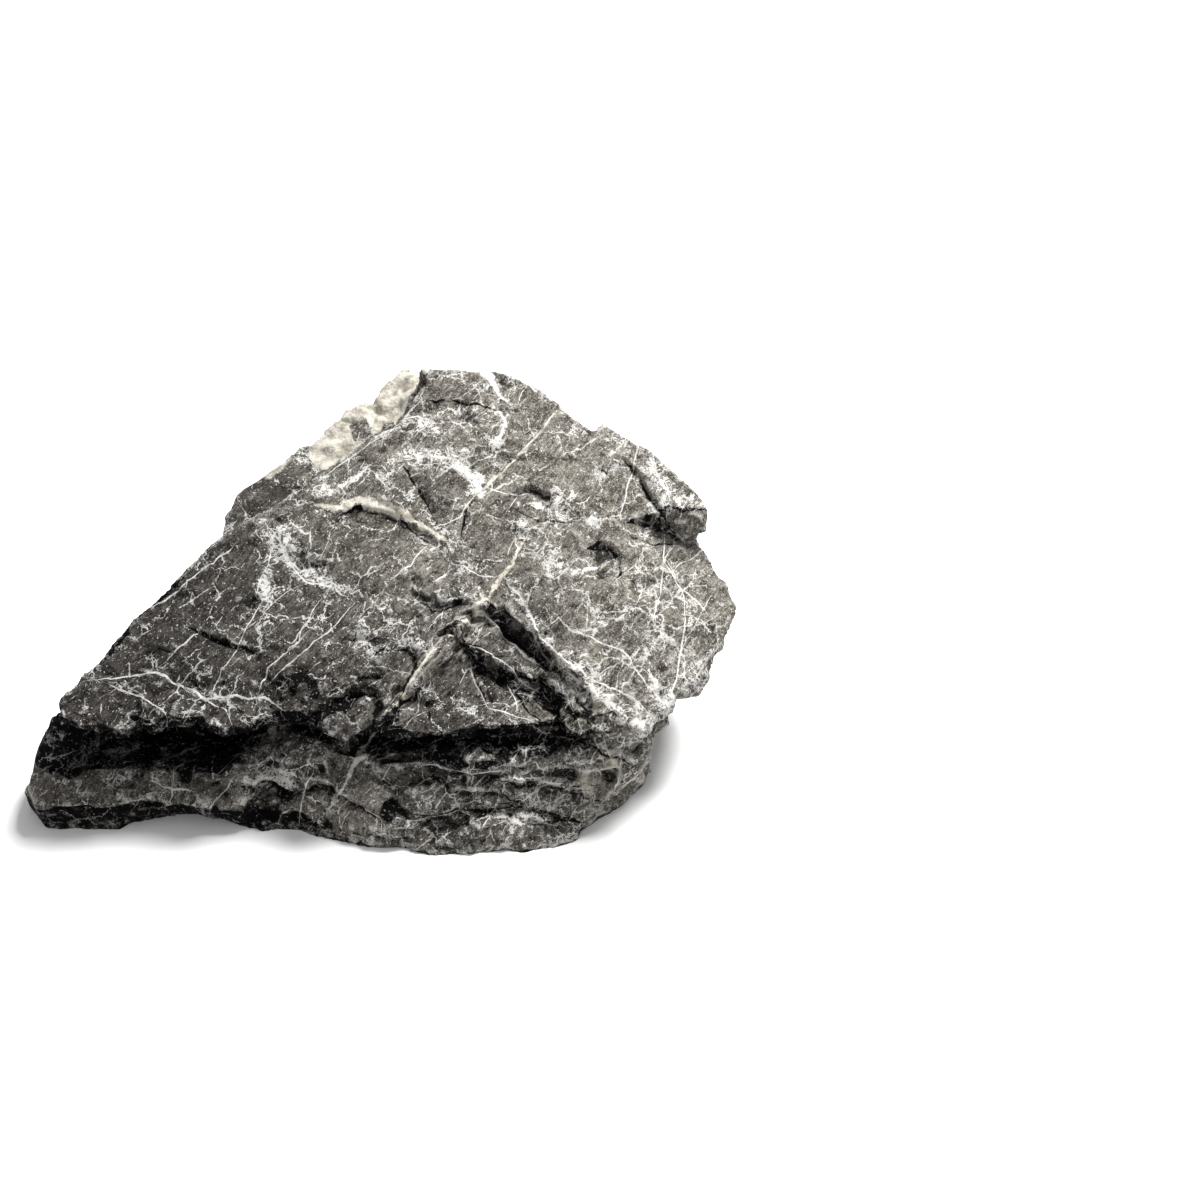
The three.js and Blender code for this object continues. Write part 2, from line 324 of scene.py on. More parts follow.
def closeness(places, middle, size):
    """1 in the middle of a patch, falling away softly around it."""
    return np.exp(-(((places - middle) / size) ** 2).sum(1))


# Between the left veins and the rim the face is knobbly, with pits between the knobs.
KNOBBLY = (-29, -61), (14, 8)           # its middle and its size
relief += on_top * closeness(plan, *KNOBBLY) * (2.2 * chips(rest, 5.5, 120)[0] - 0.4)

# Round dents: middle, radius and depth. Each has a crisp rim at its upper right.
DENTS = [
    ((88, -14), 8.4, 3.0), ((56, 39), 2.2, 0.6), ((66, 24), 1.6, 0.4), ((72, 16), 1.6, 0.4),
    ((20, -31), 5.0, 1.3), ((14, 11), 5.0, 0.7), ((6, -44), 7.0, 0.6),
]
TOWARD_RIM = [0.6, 0.8]
for middle, radius, depth in DENTS:
    away = (plan - middle) / radius
    inside = np.clip(1 - (away ** 2).sum(1), 0, 1)
    relief -= on_top * depth * inside ** np.clip(1 - away @ TOWARD_RIM, 0.3, 2)


# ------------------------ the scoop
# Where a three-cornered flake broke out of the front of the top face. Its left side follows
# an old slip plane, drawn into fine ridges; its far side is a cliff with a slot under it.
SLIP = [(45, -25), (33, -37), (23, -49), (17, -55), (7, -65), (3, -72)]
gap, side, share = along_line(plan, SLIP)
raised = np.exp(-(gap / 3.0) ** 2) * rise(40, 46, z) * rise(-16, -12, over) * rise(0.05, 0.35, share)
relief += raised * (1.5 + 0.35 * np.sin(gap * side * 4.2 + 1.5 * swell(rest, 9, 80)))

SLOT = [(43, -28), (50, -34), (61, -42), (69, -48), (77, -56)]
gap, side, share = along_line(plan, SLOT)
relief -= 3.2 * np.exp(-(gap / 1.8) ** 2) * rise(0, 0.15, share) * rise(1, 0.6, share) * (over < -2.0)

# Its floor drops by one thin bed along a broken step.
BROKEN_STEP = [(36, -41), (45, -46), (54, -48), (58, -52), (67, -56)]
gap, side, share = along_line(plan, BROKEN_STEP)
above_foot = rise(38, 42, z)
in_scoop = rise(-4, -6, over) * above_foot * rise(0.2, 0.5, level)
relief -= in_scoop * 2.2 * rise(0.3, -0.3, gap * side) * np.exp(-gap / 5)

# The right end of the floor is filled with broken rock almost up to the top face.
RIGHT_END = [(70, -54), (82, -63), (92, -68)]
filled = rise(11, 6, gap_to(plan, RIGHT_END)) * above_foot * rise(0.3, 0.7, level) * rise(66, 76, x)
relief += filled * np.clip(-2.2 - over, 0, 5)

# Wedge-shaped pockets where thin flakes came away: width and depth, and the line.
NOSE_POCKET = [(-12, -63), (-5, -61), (0, -65), (1, -72)]
POCKETS = [
    (2.6, 3.0, [(60, -52), (66, -57), (70, -62)]),
    (1.8, 2.2, [(49, -51), (55, -52), (60, -55)]),
    (1.6, 1.6, [(37, -44), (41, -50), (44, -58)]),
    (1.6, 1.8, [(9, -62), (6, -67), (3, -72)]),
    (1.4, 1.4, [(55, -58), (60, -62), (66, -64)]),
    (2.4, 4.2, [(-36, -74), (-25, -72), (-17, -69), (-12, -66), (-7, -63)]),
    (1.6, 2.6, NOSE_POCKET),
]
for width, depth, line in POCKETS:
    relief -= (over > -18) * above_foot * depth * np.clip(1.3 - gap_to(plan, line) / width, 0, 1)


# ------------------------ the lower bed
# The front of the foot, broken into hollows and short ledges, with an undercut at its toe.
# Places are in millimetres, seen from the front: across, and up from the ground.
front = rest[:, [0, 2]]
on_front = is_front * rise(46, 40, z)
LEDGES = [
    (2.8, 8, [(12, 28), (30, 27), (47, 25), (64, 21), (86, 15)]),
    (2.4, 7, [(0, 18), (12, 14), (23, 12), (41, 15), (53, 15), (76, 11)]),
    (2.0, 6, [(-18, 19), (-5, 15), (5, 11)]),
    (3.0, 8, [(-57, 20), (-44, 19), (-34, 17), (-25, 21), (-15, 20)]),
    (2.4, 6, [(-54, 10), (-44, 7), (-34, 8), (-26, 4)]),
    (2.0, 6, [(58, 9), (78, 7), (92, 12)]),
    (3.2, 14, [(-132, 14), (-113, 13), (-96, 13), (-80, 13), (-66, 13)]),
    (1.8, 6, [(-52, 30), (-40, 27), (-30, 29)]),
    (1.6, 6, [(28, 21), (44, 20), (60, 16)]),
    (1.6, 6, [(80, 34), (94, 30), (100, 24)]),
]
# Hollows: middle, reach and depth.
HOLLOWS = [
    ((-39, 15), 8, 2.6), ((-24, 19), 5, 2.0), ((-47, 7), 6, 2.0), ((7, 16), 6, 2.0),
    ((46, 22), 6, 1.6), ((62, 18), 7, 1.8), ((24, 8), 6, 1.6), ((74, 24), 6, 1.4),
    ((-90, 22), 9, 1.0), ((-110, 17), 8, 0.9), ((34, 16), 6, 1.5), ((106, 28), 12, 2.4),
]
lost = stepped(front, LEDGES)
for middle, reach, depth in HOLLOWS:
    away = (front - middle) / (reach * 1.3, reach * 0.8)
    lost += depth * np.clip(1 - (away ** 2).sum(1), 0, 1) ** 0.7
relief -= on_front * (lost - 1.2)
relief -= on_front * 0.7 * np.maximum(relief - 1.0, 0)      # what stands far out is worn down


# ------------------------ the crust
# Cream calcite that grew in low lumps on the broken shelf behind the top face. It covers the
# rough rock under it and is rough only on a small scale.
CRUST_LINE = [(-26, 48), (-22, 53), (-16, 60), (-7, 67), (1, 76)]
on_shelf = rise(-30, -24, over) * rise(-3, -8, over) * rise(60, 70, z)
crusted = on_shelf * rise(11, 7, gap_to(plan, CRUST_LINE) + 2 * swell(rest, 6, 85))
far = chips(rest + 2 * sway(rest, 6, 86), 10, 88)[1]
lumps = 3.0 * np.sqrt(np.clip(1 - 1.6 * far ** 2, 0, 1)) - 1.8
relief += crusted * (lumps - 0.3 * relief)
relief += crusted * (0.8 * crags(rest, 7, 2, 87) + 0.7 * chips(rest, 5, 89)[0])


# ------------------------ the rim and the nose
# The rim of the top face, the cliffs and the front of the ridge broke off unevenly, so they
# are knocked to and fro. A rounded nose of rock stands out of the rim, left of the scoop.
RIDGE_FRONT = [(94, 3), (105, 3), (119, 4), (132, 4)]
knocked = np.exp(-((over + 2) / 5) ** 2) * rise(-52, -60, y) * 0.8
for line, strength in ((SLOT, 1), (BROKEN_STEP, 1), (RIDGE_FRONT, 0.4), (BROW, 0.8)):
    knocked = np.maximum(knocked, strength * np.exp(-(gap_to(plan, line) / 8) ** 2))


def knock(k, size):
    return size * (chips(curved, 10, 200 + 20 * k)[0] + 0.5 * chips(curved, 4.5, 210 + 20 * k)[0])


KNOCK_SIZES = 2.6, 2.6, 1.6             # mm: across, to the back and up
to_and_fro = np.stack([knock(k, size) for k, size in enumerate(KNOCK_SIZES)], 1) * knocked[:, None]

NOSE = (-10, -76, 50), (8.5, 5, 5.5)    # its middle and its size
relief += 2.6 * closeness(rest, *NOSE)


# ------------------------ the broken skin
# Every point of the block moves out or in by what was reckoned above, in mm, and the stone
# stays flat underneath, where it stands on the ground.
DEEPEST, HIGHEST = -6.5, 5
UNDERSIDE = 0.6
relief = np.clip(eased(stone.data, relief, 1), DEEPEST, HIGHEST)
shift = facing * relief[:, None] + eased(stone.data, to_and_fro, 1)
shift[:, 2] *= rise(0.2, 3.0, z)
broken = rest + shift
broken[:, 2] = np.where(z < UNDERSIDE, np.minimum(z, 0.0), np.maximum(broken[:, 2], 0.05))
move_to(stone.data, broken)

MOST_TRIANGLES = 196_000
with_modifier(stone, "TRIANGULATE")
with_modifier(stone, "DECIMATE", ratio=min(1, MOST_TRIANGLES / len(stone.data.polygons)))
stone.data.polygons.foreach_set("use_smooth", [True] * len(stone.data.polygons))


# ------------------------ what the skin holds
# Values kept at each point of the skin, which the limestone reads. They say how far the point
# is from each vein, and how scuffed, webbed, crusted, stained and painted in shade, pale (partly painted
# light) and shut in it is.
skin = places_of(stone.data)
x, y, z = skin.T
plan, front = skin[:, :2], skin[:, [0, 2]]
over = (skin - RIM) @ ACROSS_BEDS
outward = eased(stone.data, directions_of(stone.data), 3)
level = outward @ ACROSS_BEDS
upper = (over > -19) & (z > 36)                     # the upper bed, down to the recess
lower = (y < -50) & (z < 44) & (over < -6)          # the front of the lower bed


def keep(name, values):
    made = stone.data.attributes.new(name, "FLOAT", "POINT")
    made.data.foreach_set("value", np.asarray(values, np.float32))


# ------------------------ the veins and the cracks
# Calcite that filled old fractures: cream in the thick veins, white in threads, which cross.
# Each has its half width at the start and at the end, and its line seen from above.
CALCITE = [
    (0.6, 1.6, [(-29, 9), (-20, 8)]), (1.6, 1.7, [(-20, 8), (-11, 11), (-1, 9), (8, 5), (12, 3)]),
    (1.1, 0.9, [(12, 3), (18, 0), (25, -6)]),
    (0.4, 0.6, [(68, 46), (61, 37), (49, 27), (40, 17), (35, 12)]),
    (0.8, 1.0, [(56, -4), (50, -15), (43, -24)]), (0.9, 0.6, [(43, -25), (33, -37), (28, -43)]),
    (0.7, 0.5, [(23, -49), (17, -55), (11, -62), (6, -69)]),
]
THREADS = [
    (2.4, 0.4, [(36, 66), (43, 58), (50, 51)]),
    (0.35, 0.43, [(-109, -58), (-88, -56), (-75, -59), (-65, -65), (-47, -64), (-41, -65), (-36, -69)]),
    (0.26, 0.26, [(-47, -28), (-52, -39), (-57, -50), (-64, -62)]),
    (0.26, 0.26, [(-25, -28), (-32, -45), (-42, -53), (-45, -62)]),
    (0.35, 0.26, [(108, -32), (111, -16), (113, -3), (113, 4)]),
    (0.26, 0.35, [(103, 32), (100, 24), (97, 12), (94, 6)]),
    (0.43, 0.35, [(50, -21), (58, -30), (61, -38), (72, -51), (81, -57), (99, -64), (107, -68)]),
    (0.26, 0.26, [(35, 12), (30, 4), (19, 0)]),
    (0.22, 0.2, [(12, 52), (-4, 37), (-16, 29), (-28, 20)]),
    (0.45, 0.3, [(-45, -3), (-37, -13), (-31, -20), (-21, -22), (-14, -26)]),
    (1.0, 0.5, [(-9, 24), (-15, 18)]), (0.6, 0.4, [(-5, 21), (-1, 15)]),
    (0.6, 0.4, [(26, -16), (21, -21)]), (0.7, 0.5, [(45, 49), (47, 43), (46, 38), (41, 33)]),
    (0.9, 0.4, [(80, -18), (86, -13)]),
    (0.4, 0.3, [(0, 42), (5, 45), (12, 45), (15, 40), (11, 37)]),
    (0.26, 0.26, [(52, 52), (56, 60), (50, 64)]),
    (0.35, 0.26, [(35, -43), (38, -52), (43, -61), (53, -64), (65, -67)]),
    (0.35, 0.26, [(129, -23), (119, -15), (113, -9)]),
    (0.26, 0.26, [(-90, -32), (-84, -28), (-74, -20), (-60, -8)]),
]
CROSS_THREADS = [
    (0.3, 0.26, [(-103, -60), (-90, -65), (-79, -72)]),
    (0.3, 0.26, [(-75, -60), (-64, -66), (-58, -69), (-54, -75)]),
    (0.26, 0.3, [(-12, -30), (-19, -40), (-28, -47), (-41, -58)]),
    (0.3, 0.3, [(114, -8), (120, -17), (121, -28), (118, -44), (114, -62)]),
    (0.26, 0.38, [(68, -33), (72, -38), (83, -43), (96, -48), (104, -56), (111, -62)]),
    (0.26, 0.26, [(40, 17), (49, 14), (57, 15)]),
    (0.22, 0.26, [(-83, -51), (-76, -46), (-70, -40)]),
    (0.3, 0.26, [(35, -41), (51, -46), (56, -50), (63, -52), (67, -55)]),
    (0.26, 0.26, [(50, -50), (53, -57), (54, -63)]),
    (0.3, 0.26, [(2, 26), (14, 28), (28, 27), (37, 14)]),
    (0.26, 0.26, [(-44, -2), (-46, -14), (-50, -26)]),
    (0.26, 0.26, [(46, -18), (38, -17), (26, -12)]),
    (0.35, 0.3, [(-30, -12), (-27, -18), (-20, -21), (-15, -24)]),
    (0.3, 0.26, [(-47, -1), (-44, -8), (-33, -15)]), (0.24, 0.22, [(17, -6), (11, -15), (4, -21)]),
    (0.5, 0.3, [(55, 60), (61, 55)]), (0.35, 0.26, [(55, 5), (53, -2)]),
    (0.5, 0.45, [(41, -30), (47, -34), (53, -39), (58, -43), (63, -47)]),
]
# The same on the lower bed, as seen from the front.
LOWER_THREADS = [
    (0.35, 0.3, [(-26, 24), (-29, 20), (-31, 11), (-33, 2)]),
    (0.35, 0.26, [(17, 27), (30, 27), (47, 25), (81, 17)]),
    (0.26, 0.26, [(97, 42), (94, 23), (92, 15)]), (0.26, 0.26, [(-58, 20), (-61, 16), (-66, 13)]),
    (0.3, 0.26, [(7, 10), (18, 9), (36, 10)]), (0.26, 0.26, [(45, 11), (51, 10), (62, 7)]),
    (0.26, 0.26, [(-15, 17), (-6, 15), (1, 12), (1, 8)]),
]
LOWER_CROSS = [
    (1.1, 0.6, [(2, 40), (-3, 32), (-9, 27), (-14, 21), (-20, 11)]),
    (0.26, 0.26, [(85, 42), (93, 26)]), (0.26, 0.26, [(76, 30), (87, 21)]),
    (0.3, 0.26, [(33, 18), (42, 23)]), (0.26, 0.26, [(-91, 18), (-82, 17), (-74, 17)]),
]
# Open cracks and creases, dark with old dirt, and crisp painted shadow lines under plates, cliffs and
# ledges.
CRACKS_AND_SHADOWS = [
    (0.4, 1.1, [(81, -9), (86, -6), (91, -7)]),
    (1.1, 0.4, [(91, -7), (95, -11), (95, -16), (92, -20)]),
    (0.5, 1.1, [(12, -25), (17, -29), (22, -32)]), (1.1, 0.4, [(22, -32), (28, -30), (33, -28)]),
    (0.9, 0.35, [(3, 28), (8, 21), (13, 15), (19, 6)]), (0.4, 0.5, [(36, 12), (32, 5), (31, -3)]),
    (0.3, 0.8, [(-77, -40), (-68, -41), (-58, -46), (-48, -48)]),
    (0.4, 0.4, [(-74, -57), (-66, -61)]), (0.4, 0.8, [(97, 26), (102, 20), (107, 11), (111, 5)]),
    (0.3, 0.4, [(-20, 6), (-11, 9), (-1, 7), (8, 3), (16, -3), (24, -9)]),
    (0.3, 0.35, [(13, 51), (25, 52), (40, 50), (50, 49)]), (0.4, 0.3, [(55, 38), (58, 40)]),
    (0.5, 0.3, PEAK_JOINT), (0.4, 0.3, [(64, 23), (66, 24)]),
    (2.2, 2.0, [(43, -29), (50, -34), (57, -40)]), (1.7, 0.7, [(57, -40), (64, -47), (72, -54)]),
    (0.9, 0.4, [(76, -61), (80, -66), (83, -69)]), (1.6, 0.9, [(32, -40), (42, -47), (50, -51)]),
    (0.9, 1.4, [(50, -51), (57, -53), (66, -59), (73, -65)]),
    (0.5, 1.0, [(36, -45), (39, -53), (43, -60)]), (1.2, 0.8, [(33, -38), (28, -39), (24, -41)]),
    (2.0, 1.4, [(36, -41), (40, -45)]), (1.0, 0.5, [(46, -51), (53, -54), (57, -60), (63, -65)]),
    (0.5, 1.0, [(95, 3), (105, 4), (119, 5), (131, 6)]),
    (0.3, 0.4, [(98, -1), (108, -2), (120, 1)]), (1.8, 1.6, [(-36, -74), (-25, -72), (-17, -69)]),
    (1.6, 1.1, [(-17, -69), (-12, -66), (-7, -63)]),
    (1.1, 0.8, NOSE_POCKET), (0.4, 0.9, RIM_CREASE), (1.4, 0.5, RIM_CRACK), (0.7, 0.4, RIM_STEP),
    (0.8, 1.5, [(-77, -19), (-85, -27), (-94, -33), (-99, -40), (-105, -48)]),
    (0.3, 0.4, [(-96, -51), (-86, -47), (-78, -49)]), (0.3, 0.3, [(52, 9), (64, 3), (78, 3)]),
]
# On the lower bed, as seen from the front, most of these are painted shadow lines under the ledges.
LOWER_CRACKS_AND_SHADOWS = [
    (0.5, 0.9, [(40, 24), (47, 23), (62, 18)]), (0.9, 0.5, [(62, 18), (74, 16), (87, 13)]),
    (0.5, 0.5, [(2, 15), (12, 12), (23, 10), (41, 12), (53, 13), (74, 9)]),
    (0.6, 0.5, [(-16, 17), (-5, 14), (4, 10)]), (0.7, 1.4, [(-57, 18), (-47, 16), (-38, 13)]),
    (1.4, 0.6, [(-38, 13), (-28, 16), (-16, 18)]),
    (0.8, 1.2, [(-54, 8), (-44, 5), (-34, 5), (-26, 2)]),
    (0.5, 0.4, [(26, 19), (44, 18), (58, 14)]), (0.5, 0.4, [(82, 33), (93, 29), (99, 24)]),
    (0.5, 0.6, [(10, 26), (28, 25), (44, 24)]), (0.9, 0.5, [(60, 9), (70, 8), (80, 8)]),
    (0.8, 0.6, [(12, 25), (20, 22), (28, 20)]), (0.6, 0.8, [(70, 19), (84, 18)]),
]
FAR = 99.0


def nearest_vein(flat, veins, within):
    """Signed distance to the nearest vein, counted in that vein's half width, and plain
    distance in millimetres. Both are far off for points that aren't `within`."""
    line = np.full(len(flat), FAR)
    near = np.full(len(flat), FAR)
    for start, end, points in veins:
        gap, side, share = along_line(flat, points)
        tips = rise(0, 0.12, share) * rise(0, 0.12, 1 - share)
        half = (start + (end - start) * share) * (0.35 + 0.65 * tips)
        closer = gap < near
        line = np.where(closer, gap * side / half, line)
        near = np.where(closer, gap, near)
    return np.where(within, line, FAR), np.where(within, near, FAR)


wander = plan + 0.7 * sway(skin, 5, 101, 2)
wander_front = front + 0.7 * sway(skin, 5, 103, 2)
line, near = nearest_vein(wander, CALCITE, upper)
keep("calcite", line)
keep("calcite_near", near)
for name, seen_above, seen_front in (
        ("thread", THREADS, LOWER_THREADS), ("cross", CROSS_THREADS, LOWER_CROSS),
        ("crack_and_shadow", CRACKS_AND_SHADOWS, LOWER_CRACKS_AND_SHADOWS)):
    line, near = nearest_vein(wander, seen_above, upper)
    low_line, low_near = nearest_vein(wander_front, seen_front, lower & ~upper)
    keep(name, np.where(near < low_near, line, low_line))
    keep(name + "_near", np.minimum(near, low_near))


# ------------------------ the scuffs and the hair webs
# Knocks have bruised the rock to white chalk, and hair-fine calcite runs all through it.
# Each patch has its middle seen from above, its reach and its strength.
SCUFFS = [
    (-44, -24, 4, 1), (36, 16, 4, 0.7), (33, -13, 4, 0.7), (-26, 14, 5, 0.6), (-39, -1, 3, 0.8),
    (16, 39, 4, 0.6), (88, 23, 6, 0.7), (65, -23, 5, 0.6), (89, 43, 4, 0.7), (83, -14, 3, 0.7),
    (67, -43, 4, 0.8), (80, -56, 7, 0.9), (70, -53, 4, 0.6), (-40, 45, 6, 0.9), (-50, 37, 6, 0.6),
    (-31, 50, 5, 0.8), (110, -56, 6, 0.7), (116, -64, 5, 0.8), (126, -44, 7, 0.6),
    (31, -60, 5, 0.8), (38, -65, 4, 0.7), (-48, -38, 3, 0.7), (-56, -41, 3, 0.6),
    (-99, -63, 5, 0.6), (-86, -66, 6, 0.4), (-60, -62, 6, 0.4), (50, 62, 5, 0.5), (38, 60, 5, 0.5),
    (26, 62, 6, 0.4), (100, -8, 5, 0.5), (-64, -8, 6, 0.3), (60, -78, 5, 0.6), (108, 26, 6, 0.3),
    (78, -50, 5, 0.5),
]
# Drawn-out scuffs: reach to either side, strength, and the line.
SMEARS = [
    (3.4, 1.1, [(-47, -4), (-37, -12), (-27, -18), (-14, -25)]),
    (2.0, 0.9, [(-42, -3), (-37, -13), (-33, -23)]),
    (2.0, 0.8, [(-44, -9), (-45, -17), (-46, -27)]),
    (2.2, 0.9, [(-33, -26), (-26, -29), (-18, -28)]),
    (3.2, 1.0, [(2, 28), (13, 28), (22, 27), (31, 25), (37, 17)]),
    (2.0, 1.1, [(42, 50), (47, 44), (46, 37), (41, 31)]), (1.8, 1.2, [(-17, 17), (-9, 24)]),
    (1.5, 1.0, [(-4, 22), (0, 15)]), (2.0, 0.8, [(1, 42), (6, 45), (13, 42), (24, 37)]),
    (3.0, 0.9, [(-8, -44), (-1, -49), (7, -46)]), (2.4, 0.7, [(3, -30), (5, -39)]),
    (4.2, 1.0, [(54, 1), (58, -7), (66, -13), (75, -18)]),
    (3.0, 0.9, [(60, 9), (69, 12), (75, 5), (84, 2)]),
    (3.4, 0.55, [(104, 20), (112, 14), (121, 12)]), (3.6, 1.2, [(84, -63), (95, -67), (105, -71)]),
    (4.5, 0.6, [(106, -38), (107, -54), (111, -66)]), (2.0, 0.7, [(-31, 13), (-18, 15)]),
    (1.6, 0.8, [(-66, -63), (-54, -66), (-44, -64)]), (2.4, 0.6, [(92, 30), (98, 36), (106, 36)]),
    (2.2, 1.1, [(108, 9), (117, 9), (127, 8)]),
    (2.0, 0.7, [(46, -19), (53, -24), (57, -30), (64, -40)]),
    (1.6, 0.8, [(12, -4), (20, -9), (30, -8)]),
]
LOWER_SCUFFS = [
    (-50, 21, 7, 0.8), (-38, 22, 7, 0.8), (-26, 30, 8, 0.5), (-85, 33, 14, 0.4), (-49, 15, 5, 0.48),
    (-105, 18, 8, 0.75), (-88, 18, 7, 0.65), (-120, 20, 6, 0.6), (81, 20, 6, 0.42),
    (-2, 14, 7, 0.36), (48, 24, 9, 0.45), (70, 8, 8, 0.45), (20, 14, 8, 0.36), (95, 32, 8, 0.36),
    (-75, 30, 9, 0.21), (-25, 8, 6, 0.3),
]
MOST_PATCHY = 1.3                       # where patches lie over each other


def patches(flat, marks):
    """How strong a set of soft round patches is at each point."""
    total = np.zeros(len(flat))
    for across, up, reach, strength in marks:
        total += strength * np.exp(-((flat - (across, up)) ** 2).sum(1) / reach ** 2)
    return np.minimum(total, MOST_PATCHY)


ragged = plan + 2.0 * sway(skin, 6, 105, 2)
scuffed = patches(plan, SCUFFS)
for reach, strength, line in SMEARS:
    scuffed += strength * np.exp(-(gap_to(ragged, line) / reach) ** 2)
scuffed = upper * np.minimum(scuffed, MOST_PATCHY)
keep("scuff", scuffed + lower * patches(front, LOWER_SCUFFS))

# Where the net of hair-fine calcite is closest.
WEBS = [
    (112, -30, 20, 0.65), (108, -52, 13, 0.7), (98, -14, 10, 0.5), (100, 12, 12, 0.5),
    (-34, -14, 14, 0.9), (62, -4, 14, 0.6), (20, 30, 16, 0.7), (84, -40, 14, 0.5),
    (-50, -66, 12, 0.2), (-95, -64, 12, 0.2), (50, 54, 14, 0.5), (4, -40, 14, 0.6),
    (120, -8, 12, 0.6), (126, -44, 12, 0.7), (-20, 26, 12, 0.5), (40, 30, 14, 0.5),
    (-50, -40, 12, 0.5), (70, 40, 12, 0.4),
]
LOWER_WEBS = [(88, 30, 18, 0.8), (30, 12, 22, 0.6), (-40, 20, 16, 0.5), (60, 20, 20, 0.6)]
keep("web", upper * patches(plan, WEBS) + lower * patches(front, LOWER_WEBS))


# ------------------------ the crust, the slip and the edges
# The crust fills the shelf near its line, thins out on the shelf's outer edge, and leaves one
# bare block standing. Two warm patches on the lower bed are of the same kind.
on_shelf = (over + 4 * swell(skin, 7, 117) > -25) & (over < -4) & (z > 64) & (y > 2)
crust = on_shelf * rise(12, 7, gap_to(plan, CRUST_LINE) + 2.5 * swell(skin, 5, 85))
OUTER_EDGE = [(-60, 30), (-46, 42), (-32, 52), (-20, 66)]
thin = 0.27 * on_shelf * rise(6, 1, gap_to(plan, OUTER_EDGE) + 3 * swell(skin, 6, 86))
WARM_FRONT = [(81, 20, 7, 0.45), (92, 27, 5, 0.4)]
crust = np.maximum(np.maximum(crust, thin), lower * patches(front, WARM_FRONT))
BARE_BLOCK = (-15, 54)
right, back = (plan - BARE_BLOCK).T
off_block = np.maximum(np.abs(right + 0.4 * back), np.abs(back - 0.3 * right))
keep("crust", crust * rise(3.5, 4.5, off_block))

# The slip plane is drawn into cream streaks along its line.
gap, side, share = along_line(plan, SLIP)
keep("slip", np.exp(-(gap / 3.4) ** 2) * (z > 42) * rise(0, 0.1, share))
keep("slip_across", gap * side)
keep("slip_along", 60 * share)

# How far each point stands out from those around it: more than 0 on an edge.
bend = ((skin - eased(stone.data, skin, 3)) * outward).sum(1)
keep("edge", eased(stone.data, bend, 1))


# ------------------------ the black stain and painted shade
# The recess and the seam are painted black, partly stain and partly painted shade under the
# overhang, from the lower line up to the rim, and so is the shaded toe of the foot. Both lines
# are seen from the front.
STAIN_AND_SHADE_FROM = [(-150, 21), (-64, 21), (-57, 24), (-42, 34), (-30, 40), (-21, 44), (-17, 31),
              (4, 29), (29, 27), (49, 29), (83, 31), (96, 40), (110, 46)]
STAIN_AND_SHADE_STRENGTH = [(-150, 1), (-20, 1), (0, 0.95), (60, 0.85), (90, 0.5), (110, 0.2)]
TOE = [(-150, 13), (-66, 12), (-52, 9), (-30, 6), (-16, 3), (0, 0)]
wobble = 2.0 * swell(skin, 6, 110) + 1.2 * swell(skin, 2.5, 111)
seam_stain_and_shade = rise(-2, 2, z - np.interp(x, *zip(*STAIN_AND_SHADE_FROM)) + wobble) * (z < 52)
seam_stain_and_shade *= np.interp(x, *zip(*STAIN_AND_SHADE_STRENGTH))
toe_stain_and_shade = rise(1, -1, z - np.interp(x, *zip(*TOE)) + wobble)
# Dark patches on the front, partly stain and partly painted shade: middle, reach and strength.
STAIN_AND_SHADE_PATCHES = [
    (-45, 5, 7, 0.65), (-31, 17, 5, 0.6), (-52, 11, 5, 0.55), (-18, 17, 4, 0.7), (-38, 14, 5, 0.7),
    (-22, 4, 6, 0.7), (3, 14, 3, 0.9), (6, 15, 4, 0.5), (50, 19, 5, 0.4), (74, 20, 4, 0.4),
    (-64, 22, 6, 0.5), (-121, 23, 4, 0.8), (-98, 23, 4, 0.7), (-77, 21, 4, 0.8),
]
toe_stain_and_shade = np.maximum(toe_stain_and_shade, patches(front, STAIN_AND_SHADE_PATCHES))

# The stain and painted shade lie only on what faces forward or down, and in the pits between
# the knobs of the rim.
forward = np.maximum(rise(0.86, 0.7, level), rise(-0.8, -2.0, over) * rise(6, -2, x))
forward = np.maximum(forward, rise(-14, -16, over)) * rise(-34, -48, y + 3 * swell(skin, 6, 116))
off_nose = rise(0.4, 0.15, closeness(skin, *NOSE))
pit_stain_and_shade = upper * 1.2 * closeness(plan, *KNOBBLY) * rise(-0.02, 0.25, swell(skin, 4.0, 121))
keep("stain_and_shade", np.maximum(forward * np.maximum(seam_stain_and_shade, toe_stain_and_shade) * off_nose, pit_stain_and_shade))


# ------------------------ how pale, and how shut in
# The rock is darkest at the left foot and palest toward the peak and the right flank, partly in
# its own tone and partly as painted light and shade, palest on the side toward the lamp. Over that
# lie clouds, and darker and paler patches, some of them painted shade and painted light: middle,
# reach and strength.
DARKER_AND_SHADED = [
    (20, 15, 11, 0.3), (26, -32, 10, 0.35), (-90, -42, 14, 0.25), (-62, -26, 16, 0.18),
    (32, -58, 20, 0.35), (10, -60, 12, 0.25), (-28, -66, 12, 0.3), (56, -44, 12, 0.2),
    (-50, 32, 18, 0.3), (84, 30, 8, 0.15), (-40, -72, 20, 0.2), (22, 46, 18, 0.12),
    (100, 32, 12, 0.1), (121, 0, 7, 0.35),
]
PALER_AND_LIT = [(80, -58, 10, 0.4), (72, -50, 6, 0.3), (50, 36, 20, 0.1), (-36, 46, 8, 0.3),
         (72, 18, 16, 0.12)]
PALER_AND_LIT_FRONT = [(88, 28, 16, 0.35), (50, 18, 16, 0.18)]
paler_toward_lamp = rise(-150, 130, x + 0.8 * y + 12 * swell(skin, 40, 112))
